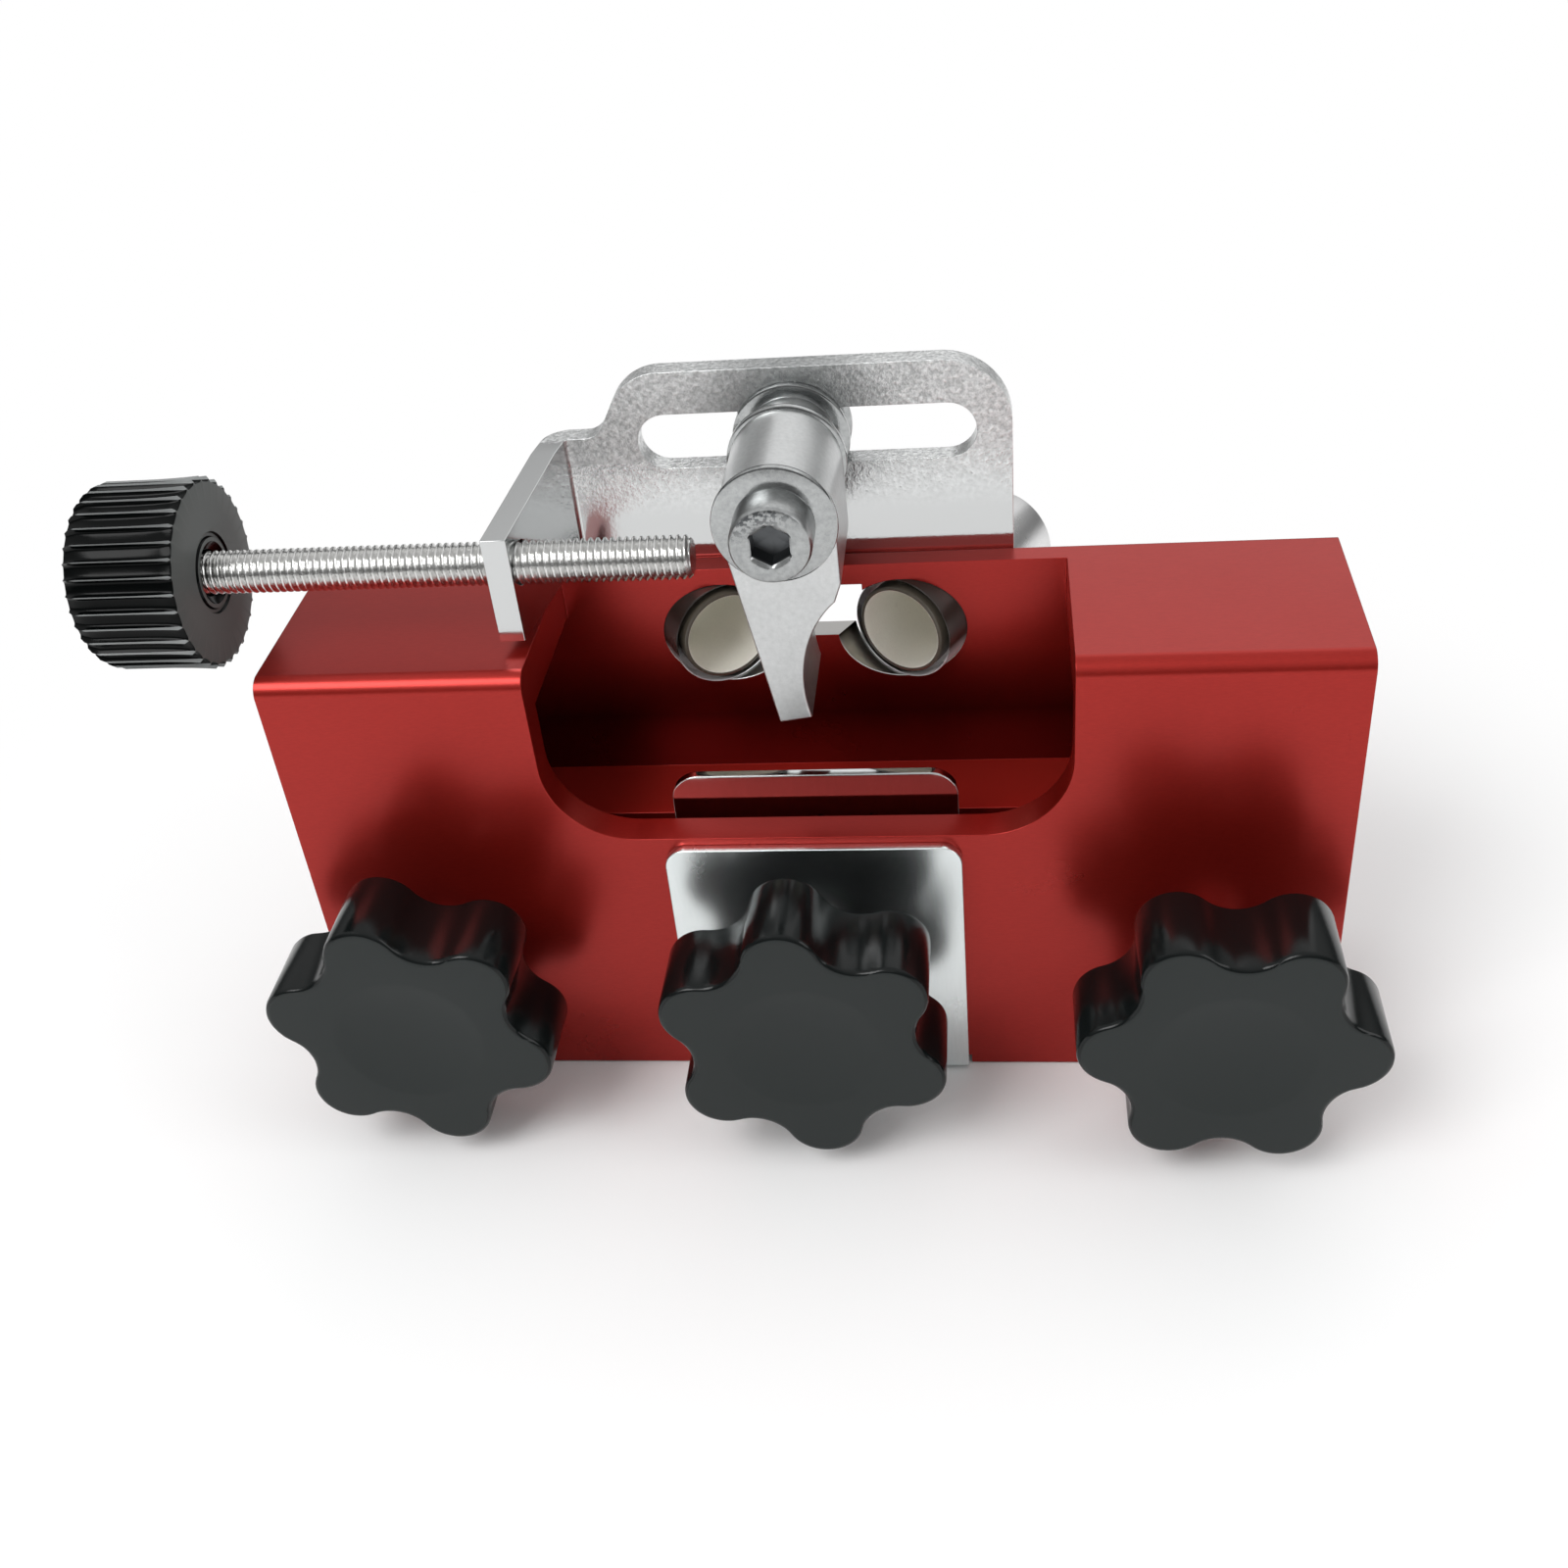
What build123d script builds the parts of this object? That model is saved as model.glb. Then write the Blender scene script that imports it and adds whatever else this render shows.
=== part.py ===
from build123d import *
from math import cos, pi, sin, tan
import os

# Driving sizes in millimetres. Origin: middle of the body's underside. +X runs along the body,
# +Y points to the back, +Z is up.
body_length = 150.0
body_depth = 32.2
body_height = 72.4
front_wall = 5.0
rear_wall = 4.0
top_wall = 7.4
jaw_height = 37.4
jaw_depth = 16.4
cell_wall = 3.6
top_edge_radius = 2.6
cutout_width = 74.0
cutout_depth = 27.8
cutout_radius = 12.5

guide_angle = 30.0
guide_spacing = 26.2
guide_below_top = 10.9
tube_radius = 8.15
tube_wall = 1.15
tube_length = 31.0
bush_wall = 0.75
bush_lip = 0.5
joining_slot_width = 14.0
joining_slot_height = 8.4
joining_slot_x = 0.5
joining_slot_below_top = 7.5

sheet = 3.5
bracket_right = 29.6
bracket_above_body = 28.9
bracket_corner_radius = 9.8
bend_radius = 0.6
crease_x = -33.7
flange_flare = 8.1
flange_depth = 25.2
flange_above_body = 1.6
flange_top_above_body = 19.5
flange_top_fall = 2.5
flange_level_depth = 4.1
step_foot = 4.7
step_top = 9.7
step_foot_radius = 3.2
step_top_radius = 8.0
slot_left = -23.2
slot_right = 24.7
slot_height = 8.2
ear_screw_left = -29.0
ear_screw_right = 27.1
ear_screw_below_top = 2.9
ear_screw_radius = 1.5
ear_screw_depth = 2.8
ear_screw_head_radius = 2.4
ear_screw_head = 1.8
ear_below_top = 7.0
ear_right_below_top = 6.4
web_below_top = 2.0

pivot_x = -1.2
pivot_above_body = 18.5
bolt_radius = 3.0
washer_radius = 8.3
washer_thickness = 1.2
hub_radius = 7.8
pawl_depth = 16.9
spacer_radius = 6.6
spacer_length = 5.7
head_radius = 5.4
head_length = 5.6
socket_radius = 2.9
socket_depth = 3.4
nut_height = 5.0
nut_half_flats = 5.0
bolt_end_past_nut = 1.2

screw_from_flange_front = 3.7
screw_above_body = 11.8
screw_radius = 3.0
screw_tip_x = -13.2
screw_end_length = 9.0
grip_past_body = 5.5
grip_length = 16.2
grip_radius = 13.3
flute_count = 34

plate = 1.5
plate_width = 42.4
plate_x = 0.4
outer_leg_top = 43.5
chain_plate_width = 41.4
chain_plate_top = 50.1
chain_plate_from_wall = 2.4
foot_overlap = 0.3

stud_radius = 4.0
stud_z = 24.6
stud_from_end = 17.6
middle_stud_x = -0.6
star_radius = 20.8
star_valley = 15.9
star_thickness = 12.5
star_lobe = 5.5
star_boss_radius = 7.5
star_boss = 2.0
star_dish_radius = 75.0
star_dish_depth = 0.8
left_star_out = 20.4
middle_star_out = 22.0
right_star_out = 23.5
side_stud_reach = 30.2
stud_grip_depth = 8.0
pad_radius = 7.0
pad_thickness = 2.2
pad_socket = 1.4

# Fits.
running_gap = 0.05
side_gap = 0.1
rest_gap = 0.05
tube_gap = 0.02
ear_hole_gap = 0.1
plate_hole_gap = 0.4
foot_side_gap = 0.4

front_y = -body_depth / 2
rear_y = body_depth / 2
wall_inner_y = front_y + front_wall
rear_inner_y = rear_y - rear_wall
jaw_front_y = rear_y - jaw_depth
bracket_rear_y = rear_y + sheet
guide_height = body_height - guide_below_top
tube_bore_radius = tube_radius - tube_wall
bush_bore_radius = tube_bore_radius - bush_wall
bracket_top = body_height + bracket_above_body
flange_front_y = rear_y - flange_depth
flange_bottom = body_height + flange_above_body
flange_top = body_height + flange_top_above_body
flare = flange_flare * pi / 180
flange_inner_x = crease_x - flange_depth * tan(flare)
flange_outer_x = flange_inner_x - sheet / cos(flare)
ear_screw_z = body_height - ear_screw_below_top
pivot_z = body_height + pivot_above_body
screw_y = flange_front_y + screw_from_flange_front
screw_z = body_height + screw_above_body
grip_face_x = -body_length / 2 - grip_past_body
screw_start_x = grip_face_x - screw_end_length
chain_plate_front_y = wall_inner_y + chain_plate_from_wall
stud_x = body_length / 2 - stud_from_end
left_star_front = front_y - left_star_out
middle_star_front = front_y - middle_star_out
right_star_front = front_y - right_star_out
os.makedirs("parts", exist_ok=True)


def ring_along_y(x, z, start, length, outer, inner=0.0):
    # A washer, disc or pin whose axis runs along +Y.
    with Locations(Location((x, start + length / 2, z), (90, 0, 0))):
        Cylinder(outer, length)
        if inner:
            Cylinder(inner, length, mode=Mode.SUBTRACT)


def guide_plane(side):
    # Plane at the mouth of a guide hole, looking out along the hole's axis.
    return Plane(
        origin=(side * guide_spacing / 2, rear_inner_y, guide_height),
        x_dir=(0, 0, 1),
        z_dir=(side * sin(guide_angle * pi / 180), cos(guide_angle * pi / 180), 0),
    )


# Body: one extruded channel with a hollow rear jaw.
with BuildPart() as body_channel:
    with BuildSketch(Plane.YZ.offset(-body_length / 2)):
        with Locations((0, body_height / 2)):
            Rectangle(body_depth, body_height)
        with Locations(((wall_inner_y + rear_inner_y) / 2, (jaw_height + body_height - top_wall) / 2)):
            Rectangle(rear_inner_y - wall_inner_y, body_height - top_wall - jaw_height, mode=Mode.SUBTRACT)
        with Locations(((wall_inner_y + jaw_front_y) / 2, jaw_height / 2)):
            Rectangle(jaw_front_y - wall_inner_y, jaw_height, mode=Mode.SUBTRACT)
        with Locations(((jaw_front_y + cell_wall + rear_inner_y) / 2, jaw_height / 2)):
            Rectangle(rear_inner_y - jaw_front_y - cell_wall, jaw_height - 2 * cell_wall, mode=Mode.SUBTRACT)
    extrude(amount=body_length)
    fillet(body_channel.edges().filter_by(Axis.X).group_by(Axis.Z)[-1].sort_by(Axis.Y)[0], top_edge_radius)
    fillet(body_channel.edges().filter_by(Axis.X).group_by(Axis.Z)[-1].sort_by(Axis.Y)[-1], 0.8)
    # Cut-out: a U through the front wall that carries on across the top.
    with BuildSketch(Plane.XZ.offset(-wall_inner_y - 0.1)):
        with Locations((0, body_height - cutout_depth / 2 + 5)):
            RectangleRounded(cutout_width, cutout_depth + 10, cutout_radius)
        with Locations((0, body_height + 10)):
            Rectangle(cutout_width, 30)
    extrude(amount=front_wall + 1, mode=Mode.SUBTRACT)
    with Locations((0, (front_y - 1 + rear_inner_y) / 2, body_height)):
        Box(cutout_width, rear_inner_y - front_y + 1, 2 * top_wall + 0.2, mode=Mode.SUBTRACT)
    # Guide holes through the rear wall and the slot that joins them.
    for side in (-1, 1):
        with BuildSketch(guide_plane(side).offset(-7)):
            Circle(tube_radius + tube_gap)
        extrude(amount=22, mode=Mode.SUBTRACT)
    with Locations((joining_slot_x, rear_y, body_height - joining_slot_below_top)):
        Box(joining_slot_width, 2 * rear_wall + 4, joining_slot_height, mode=Mode.SUBTRACT)
    # Tapped holes for the clamp studs.
    with BuildSketch(Plane.XZ.offset(-wall_inner_y - 0.1)):
        with Locations((-stud_x, stud_z), (middle_stud_x, stud_z), (stud_x, stud_z)):
            Circle(stud_radius + running_gap)
    extrude(amount=front_wall + 1, mode=Mode.SUBTRACT)
    # Relief for the folded foot of the front plate.
    with Locations((plate_x, wall_inner_y - front_wall / 2, 0)):
        Box(plate_width + 2 * foot_side_gap, front_wall + 0.2, 2 * (plate + rest_gap), mode=Mode.SUBTRACT)
    # Blind tapped holes for the bracket screws.
    with BuildSketch(Plane.XZ.offset(-rear_y)):
        with Locations((ear_screw_left, ear_screw_z), (ear_screw_right, ear_screw_z)):
            Circle(ear_screw_radius)
    extrude(amount=ear_screw_depth + 0.2, mode=Mode.SUBTRACT)
body_channel.part.label = "body_channel"
export_step(body_channel.part, "parts/body_channel.step")

# Two guide tubes and the bushes pressed into them.
for side, word in ((-1, "left"), (1, "right")):
    with BuildPart() as guide_tube:
        with BuildSketch(guide_plane(side)):
            Circle(tube_radius)
            Circle(tube_bore_radius, mode=Mode.SUBTRACT)
        extrude(amount=tube_length)
    guide_tube.part.label = "guide_tube_" + word
    export_step(guide_tube.part, "parts/guide_tube_" + word + ".step")
    with BuildPart() as guide_bush:
        with BuildSketch(guide_plane(side).offset(-bush_lip)):
            Circle(tube_bore_radius)
            Circle(bush_bore_radius, mode=Mode.SUBTRACT)
        extrude(amount=tube_length + bush_lip)
    guide_bush.part.label = "guide_bush_" + word
    export_step(guide_bush.part, "parts/guide_bush_" + word + ".step")

# Bracket: bent sheet on the back of the body, slotted for the pawl bolt.
with BuildPart() as pawl_bracket:
    outer_corner_x = crease_x - sheet * cos(flare) + sheet * (1 - sin(flare)) * tan(flare)
    with BuildSketch(Plane.XY.offset(body_height - 8)) as bent_sheet:
        with BuildLine():
            Polyline(
                (bracket_right, rear_y),
                (bracket_right, bracket_rear_y),
                (outer_corner_x, bracket_rear_y),
                (flange_outer_x, flange_front_y),
                (flange_inner_x, flange_front_y),
                (crease_x, rear_y),
                close=True,
            )
        make_face()
        fillet(bent_sheet.vertices().sort_by_distance((outer_corner_x, bracket_rear_y))[0], bend_radius + sheet)
        fillet(bent_sheet.vertices().sort_by_distance((crease_x, rear_y))[0], bend_radius)
    extrude(amount=bracket_top - body_height + 8)
    # Elevation outline seen from the front.
    with BuildSketch(Plane.XZ.offset(30)) as outline:
        with BuildLine():
            Polyline(
                (flange_outer_x - 2, flange_bottom),
                (crease_x + bend_radius + 0.1, flange_bottom),
                (crease_x + bend_radius + 0.1, body_height - ear_below_top),
                (ear_screw_left + 3.3, body_height - ear_below_top),
                (ear_screw_left + 7.0, body_height - web_below_top),
                (ear_screw_right - 5.1, body_height - web_below_top),
                (ear_screw_right - 1.4, body_height - ear_right_below_top),
                (bracket_right, body_height - ear_right_below_top),
                (bracket_right, bracket_top),
                (crease_x + step_top, bracket_top),
                (crease_x + step_foot, flange_top),
                (flange_outer_x - 2, flange_top),
                close=True,
            )
        make_face()
        fillet(outline.vertices().sort_by_distance((bracket_right, bracket_top))[0], bracket_corner_radius)
        fillet(outline.vertices().sort_by_distance((crease_x + step_top, bracket_top))[0], step_top_radius)
        fillet(outline.vertices().sort_by_distance((crease_x + step_foot, flange_top))[0], step_foot_radius)
    extrude(amount=-60, mode=Mode.INTERSECT)
    # Slot for the pawl bolt.
    with BuildSketch(Plane.XZ.offset(-bracket_rear_y - 1)):
        with Locations(((slot_left + slot_right) / 2, pivot_z)):
            SlotOverall(slot_right - slot_left, slot_height)
        with Locations((ear_screw_left, ear_screw_z), (ear_screw_right, ear_screw_z)):
            Circle(ear_screw_radius + ear_hole_gap)
    extrude(amount=sheet + 2, mode=Mode.SUBTRACT)
    # Tapped hole for the adjusting screw, close to the flange's front edge.
    with BuildSketch(Plane.YZ.offset(flange_outer_x - 1)):
        with Locations((screw_y, screw_z)):
            Circle(screw_radius + running_gap)
    extrude(amount=crease_x - flange_outer_x + 1, mode=Mode.SUBTRACT)
    # The flange's top edge falls towards the front.
    with BuildSketch(Plane.YZ.offset(flange_outer_x - 1)):
        with BuildLine():
            Polyline(
                (flange_front_y - 1, flange_top - flange_top_fall),
                (rear_y - flange_level_depth, flange_top),
                (rear_y - flange_level_depth, flange_top + 3),
                (flange_front_y - 1, flange_top + 3),
                close=True,
            )
        make_face()
    extrude(amount=crease_x - flange_outer_x + 1, mode=Mode.SUBTRACT)
pawl_bracket.part.label = "pawl_bracket"
export_step(pawl_bracket.part, "parts/pawl_bracket.step")

with BuildPart() as bracket_screws:
    for screw_x in (ear_screw_left, ear_screw_right):
        ring_along_y(screw_x, ear_screw_z, rear_y - ear_screw_depth, ear_screw_depth + sheet, ear_screw_radius)
        ring_along_y(screw_x, ear_screw_z, bracket_rear_y, ear_screw_head, ear_screw_head_radius)
        with Locations(Location((screw_x, bracket_rear_y + ear_screw_head, ear_screw_z), (90, 0, 0))):
            Box(3.4, 0.6, 1.6, mode=Mode.SUBTRACT)
bracket_screws.part.label = "bracket_screws"
export_step(bracket_screws.part, "parts/bracket_screws.step")

# Pawl group, stacked along the bolt from front to back.
stack_washer_y = rear_y - running_gap - washer_thickness
ring_washer_y = stack_washer_y - spacer_length - washer_thickness
pawl_back_y = ring_washer_y - side_gap
pawl_front_y = pawl_back_y - pawl_depth
front_washer_y = pawl_front_y - side_gap - washer_thickness
head_back_y = front_washer_y
back_washer_y = bracket_rear_y + running_gap
nut_y = back_washer_y + washer_thickness

with BuildPart() as pawl:
    with BuildSketch(Plane.XZ.offset(-pawl_back_y)) as pawl_sketch:
        with Locations((pivot_x, pivot_z)):
            Circle(hub_radius)
        with BuildLine():
            Line((pivot_x - 7.5, pivot_z - 2.1), (pivot_x - 2.1, pivot_z - 31.4))
            Line((pivot_x - 2.1, pivot_z - 31.4), (pivot_x + 2.5, pivot_z - 30.7))
            Spline(
                (pivot_x + 2.5, pivot_z - 30.7),
                (pivot_x + 1.8, pivot_z - 25.6),
                (pivot_x + 2.1, pivot_z - 21.8),
                (pivot_x + 4.3, pivot_z - 15.6),
                (pivot_x + 6.9, pivot_z - 12.4),
            )
            Line((pivot_x + 6.9, pivot_z - 12.4), (pivot_x + 7.9, pivot_z - 9.6))
            Line((pivot_x + 7.9, pivot_z - 9.6), (pivot_x + 7.8, pivot_z))
            Line((pivot_x + 7.8, pivot_z), (pivot_x - 7.5, pivot_z - 2.1))
        make_face()
        with Locations((pivot_x, pivot_z)):
            Circle(bolt_radius + running_gap, mode=Mode.SUBTRACT)
    extrude(amount=pawl_depth)
pawl.part.label = "pawl"
export_step(pawl.part, "parts/pawl.step")

with BuildPart() as pawl_bolt:
    ring_along_y(pivot_x, pivot_z, head_back_y - head_length, head_length, head_radius)
    fillet(pawl_bolt.edges().filter_by(GeomType.CIRCLE).sort_by(Axis.Y)[0], 0.7)
    bolt_end_y = nut_y + nut_height + bolt_end_past_nut
    ring_along_y(pivot_x, pivot_z, head_back_y, bolt_end_y - head_back_y, bolt_radius)
    with BuildSketch(Plane.XZ.offset(-(head_back_y - head_length + socket_depth))):
        with Locations((pivot_x, pivot_z)):
            RegularPolygon(socket_radius, 6)
    extrude(amount=socket_depth + 1, mode=Mode.SUBTRACT)
pawl_bolt.part.label = "pawl_bolt"
export_step(pawl_bolt.part, "parts/pawl_bolt.step")

with BuildPart() as pawl_washers:
    for washer_y in (front_washer_y, ring_washer_y, stack_washer_y, back_washer_y):
        ring_along_y(pivot_x, pivot_z, washer_y, washer_thickness, washer_radius, bolt_radius + running_gap)
pawl_washers.part.label = "pawl_washers"
export_step(pawl_washers.part, "parts/pawl_washers.step")

with BuildPart() as pawl_spacer:
    ring_along_y(
        pivot_x, pivot_z, ring_washer_y + washer_thickness, spacer_length, spacer_radius, bolt_radius + running_gap
    )
pawl_spacer.part.label = "pawl_spacer"
export_step(pawl_spacer.part, "parts/pawl_spacer.step")

with BuildPart() as pawl_nut:
    with BuildSketch(Plane.XZ.offset(-nut_y - nut_height)):
        with Locations((pivot_x, pivot_z)):
            RegularPolygon(nut_half_flats, 6, major_radius=False)
            Circle(bolt_radius, mode=Mode.SUBTRACT)
    extrude(amount=nut_height)
pawl_nut.part.label = "pawl_nut"
export_step(pawl_nut.part, "parts/pawl_nut.step")

# Adjusting screw and its fluted grip.
with BuildPart() as adjusting_screw:
    with BuildSketch(Plane.YZ.offset(screw_start_x)):
        with Locations((screw_y, screw_z)):
            Circle(screw_radius)
    extrude(amount=screw_tip_x - screw_start_x)
    chamfer(adjusting_screw.edges().filter_by(GeomType.CIRCLE).sort_by(Axis.X)[-1], 0.5)
adjusting_screw.part.label = "adjusting_screw"
export_step(adjusting_screw.part, "parts/adjusting_screw.step")

with BuildPart() as adjusting_knob:
    with BuildSketch(Plane.XZ.offset(-screw_y)):
        with BuildLine():
            Polyline((grip_face_x, screw_z), (grip_face_x, screw_z + grip_radius))
            Spline(
                (grip_face_x, screw_z + grip_radius),
                (grip_face_x - grip_length * 0.5, screw_z + grip_radius - 0.95),
                (grip_face_x - grip_length + 1.2, screw_z + grip_radius - 0.9),
            )
            Polyline(
                (grip_face_x - grip_length + 1.2, screw_z + grip_radius - 0.9),
                (grip_face_x - grip_length, screw_z + grip_radius - 2.4),
                (grip_face_x - grip_length, screw_z),
                (grip_face_x, screw_z),
            )
        make_face()
    revolve(axis=Axis((0, screw_y, screw_z), (1, 0, 0)))
    with BuildSketch(Plane.YZ.offset(grip_face_x - grip_length - 1)):
        with Locations((screw_y, screw_z)):
            with PolarLocations(grip_radius + 0.1, flute_count):
                Circle(0.95)
    extrude(amount=grip_length + 2, mode=Mode.SUBTRACT)
    with BuildSketch(Plane.YZ.offset(screw_start_x)):
        with Locations((screw_y, screw_z)):
            Circle(screw_radius)
    extrude(amount=screw_end_length + 1, mode=Mode.SUBTRACT)
    # Shallow ring groove round the screw.
    with BuildSketch(Plane.YZ.offset(grip_face_x - 0.5)):
        with Locations((screw_y, screw_z)):
            Circle(screw_radius + 2.6)
            Circle(screw_radius + 2.0, mode=Mode.SUBTRACT)
    extrude(amount=1, mode=Mode.SUBTRACT)
adjusting_knob.part.label = "adjusting_knob"
export_step(adjusting_knob.part, "parts/adjusting_knob.step")

# Front plate: outer leg on the front wall with a foot folded under it.
foot_end_y = chain_plate_front_y + plate + foot_overlap
with BuildPart() as front_plate:
    with BuildSketch(Plane.YZ.offset(plate_x - plate_width / 2)):
        with Locations((front_y - plate / 2, outer_leg_top / 2)):
            Rectangle(plate, outer_leg_top)
        with Locations(((front_y - plate + foot_end_y) / 2, plate / 2)):
            Rectangle(foot_end_y - front_y + plate, plate)
    extrude(amount=plate_width)
    fillet(front_plate.edges().filter_by(Axis.X).group_by(Axis.Z)[0].sort_by(Axis.Y)[0], plate * 0.9)
    fillet(front_plate.edges().filter_by(Axis.Y).group_by(Axis.Z)[-1], 3.0)
    with BuildSketch(Plane.XZ.offset(-front_y - 0.1)):
        with Locations((middle_stud_x, stud_z)):
            Circle(stud_radius + plate_hole_gap)
    extrude(amount=plate + 1, mode=Mode.SUBTRACT)
front_plate.part.label = "front_plate"
export_step(front_plate.part, "parts/front_plate.step")

with BuildPart() as chain_plate:
    chain_plate_bottom = plate + rest_gap
    with Locations((
        plate_x,
        chain_plate_front_y + plate / 2,
        (chain_plate_bottom + chain_plate_top) / 2,
    )):
        Box(chain_plate_width, plate, chain_plate_top - chain_plate_bottom)
    fillet(chain_plate.edges().filter_by(Axis.Y).group_by(Axis.Z)[-1], 4.0)
chain_plate.part.label = "chain_plate"
export_step(chain_plate.part, "parts/chain_plate.step")

# Star knobs, their studs and the pads on the two outer studs.
lobe_centre = star_radius - star_lobe
half_step = cos(pi / 6)
valley_radius = (
    (lobe_centre**2 + star_valley**2 - 2 * lobe_centre * star_valley * half_step - star_lobe**2)
    / (2 * (star_lobe - star_valley + lobe_centre * half_step))
)
valley_centre = star_valley + valley_radius
touch = star_lobe / (star_lobe + valley_radius)
touch_x = lobe_centre + (valley_centre * half_step - lobe_centre) * touch
touch_y = valley_centre * sin(pi / 6) * touch


def turned(x, y, angle):
    # A point turned about the star's own centre.
    return (x * cos(angle) - y * sin(angle), x * sin(angle) + y * cos(angle))


for word, x, star_front, phase, tip_y in (
    ("left", -stud_x, left_star_front, 43.4, left_star_front + side_stud_reach),
    ("center", middle_stud_x, middle_star_front, 37.2, chain_plate_front_y - rest_gap),
    ("right", stud_x, right_star_front, 58.3, right_star_front + side_stud_reach),
):
    with BuildPart() as star_knob:
        with BuildSketch(Plane.XZ.offset(-star_front - star_thickness)):
            with BuildLine(Location((x, stud_z))):
                for lobe in range(6):
                    turn = phase * pi / 180 + lobe * pi / 3
                    ThreePointArc(
                        turned(touch_x, -touch_y, turn),
                        turned(star_radius, 0, turn),
                        turned(touch_x, touch_y, turn),
                    )
                    ThreePointArc(
                        turned(touch_x, touch_y, turn),
                        turned(star_valley * half_step, star_valley * sin(pi / 6), turn),
                        turned(touch_x, -touch_y, turn + pi / 3),
                    )
            make_face()
        extrude(amount=star_thickness)
        fillet(star_knob.faces().sort_by(Axis.Y)[0].edges(), 0.8)
        ring_along_y(x, stud_z, star_front + star_thickness, star_boss, star_boss_radius)
        with Locations((x, star_front - star_dish_radius + star_dish_depth, stud_z)):
            Sphere(star_dish_radius, mode=Mode.SUBTRACT)
        with BuildSketch(Plane.XZ.offset(-star_front - star_thickness - star_boss - 1)):
            with Locations((x, stud_z)):
                Circle(stud_radius)
        extrude(amount=stud_grip_depth + star_boss + 1, mode=Mode.SUBTRACT)
    star_knob.part.label = "star_knob_" + word
    export_step(star_knob.part, "parts/star_knob_" + word + ".step")
    stud_start_y = star_front + star_thickness - stud_grip_depth
    with BuildPart() as clamp_stud:
        ring_along_y(x, stud_z, stud_start_y, tip_y - stud_start_y, stud_radius)
        chamfer(clamp_stud.edges().filter_by(GeomType.CIRCLE).sort_by(Axis.Y)[-1], 0.6)
    clamp_stud.part.label = "clamp_stud_" + word
    export_step(clamp_stud.part, "parts/clamp_stud_" + word + ".step")
    if word != "center":
        with BuildPart() as clamp_pad:
            pad_y = tip_y + rest_gap - pad_socket
            ring_along_y(x, stud_z, pad_y, pad_thickness, pad_radius)
            with BuildSketch(Plane.XZ.offset(-pad_y - pad_socket)):
                with Locations((x, stud_z)):
                    Circle(stud_radius + running_gap)
            extrude(amount=pad_socket, mode=Mode.SUBTRACT)
        clamp_pad.part.label = "clamp_pad_" + word
        export_step(clamp_pad.part, "parts/clamp_pad_" + word + ".step")
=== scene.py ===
import math
import bpy
import bmesh
from mathutils import Matrix, Vector


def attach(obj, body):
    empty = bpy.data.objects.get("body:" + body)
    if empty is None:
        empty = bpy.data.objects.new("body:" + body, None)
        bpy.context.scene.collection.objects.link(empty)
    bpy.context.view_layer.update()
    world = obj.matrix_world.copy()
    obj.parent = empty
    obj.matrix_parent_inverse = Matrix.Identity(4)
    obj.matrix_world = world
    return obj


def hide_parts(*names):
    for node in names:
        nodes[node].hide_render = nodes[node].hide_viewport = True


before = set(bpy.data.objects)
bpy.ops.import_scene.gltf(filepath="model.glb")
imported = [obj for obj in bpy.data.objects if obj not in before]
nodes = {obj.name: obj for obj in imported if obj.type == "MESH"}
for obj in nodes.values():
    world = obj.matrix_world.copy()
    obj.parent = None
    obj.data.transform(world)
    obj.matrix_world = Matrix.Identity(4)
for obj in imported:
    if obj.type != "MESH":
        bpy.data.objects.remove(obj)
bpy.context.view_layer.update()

mm = 0.001
print("frame loaded:", len(nodes), "CAD nodes")

cameraSetup = {
    "place": (27.202 * mm, -207.24 * mm, 194.653 * mm),
    "right": (0.992061, 0.090416, -0.087405),
    "down": (-0.0167, -0.59416, -0.804173),
    "ahead": (-0.124643, 0.799249, -0.587933),
    "lens": 39.706,
}

right = Vector(cameraSetup["right"])
up = -Vector(cameraSetup["down"])
back = -Vector(cameraSetup["ahead"])
cameraData = bpy.data.cameras.new("jigCamera")
cameraData.lens = cameraSetup["lens"]
cameraData.sensor_width = 36.0
cameraData.clip_start = 0.005
camera = bpy.data.objects.new("jigCamera", cameraData)
camera.matrix_world = Matrix((
    (right.x, up.x, back.x, cameraSetup["place"][0]),
    (right.y, up.y, back.y, cameraSetup["place"][1]),
    (right.z, up.z, back.z, cameraSetup["place"][2]),
    (0, 0, 0, 1),
))
bpy.context.scene.collection.objects.link(camera)
bpy.context.scene.camera = camera
bpy.context.scene.view_settings.view_transform = "Standard"


def newMaterial(name):
    material = bpy.data.materials.new(name)
    material.use_nodes = True
    tree = material.node_tree
    return material, tree, tree.nodes["Principled BSDF"]


def addNode(tree, kind, place=(0, 0), **inputs):
    node = tree.nodes.new(kind)
    node.location = place
    for key, value in inputs.items():
        node.inputs[key.replace("_", " ")].default_value = value
    return node


floorSetup = {"size": 6.0, "below": 0.2, "colour": (0.94, 0.94, 0.94, 1), "roughness": 0.9,
              "fadeFrom": 0.10, "fadeTo": 0.21}

bpy.ops.mesh.primitive_plane_add(size=floorSetup["size"], location=(0, 0, -floorSetup["below"] * mm))
floor = bpy.context.object
floor.name = "paleFloor"
floorMaterial, floorTree, floorShader = newMaterial("paleFloorPaint")
floorShader.inputs["Base Color"].default_value = floorSetup["colour"]
floorShader.inputs["Roughness"].default_value = floorSetup["roughness"]
floorShader.inputs["Specular IOR Level"].default_value = 0.0
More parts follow.
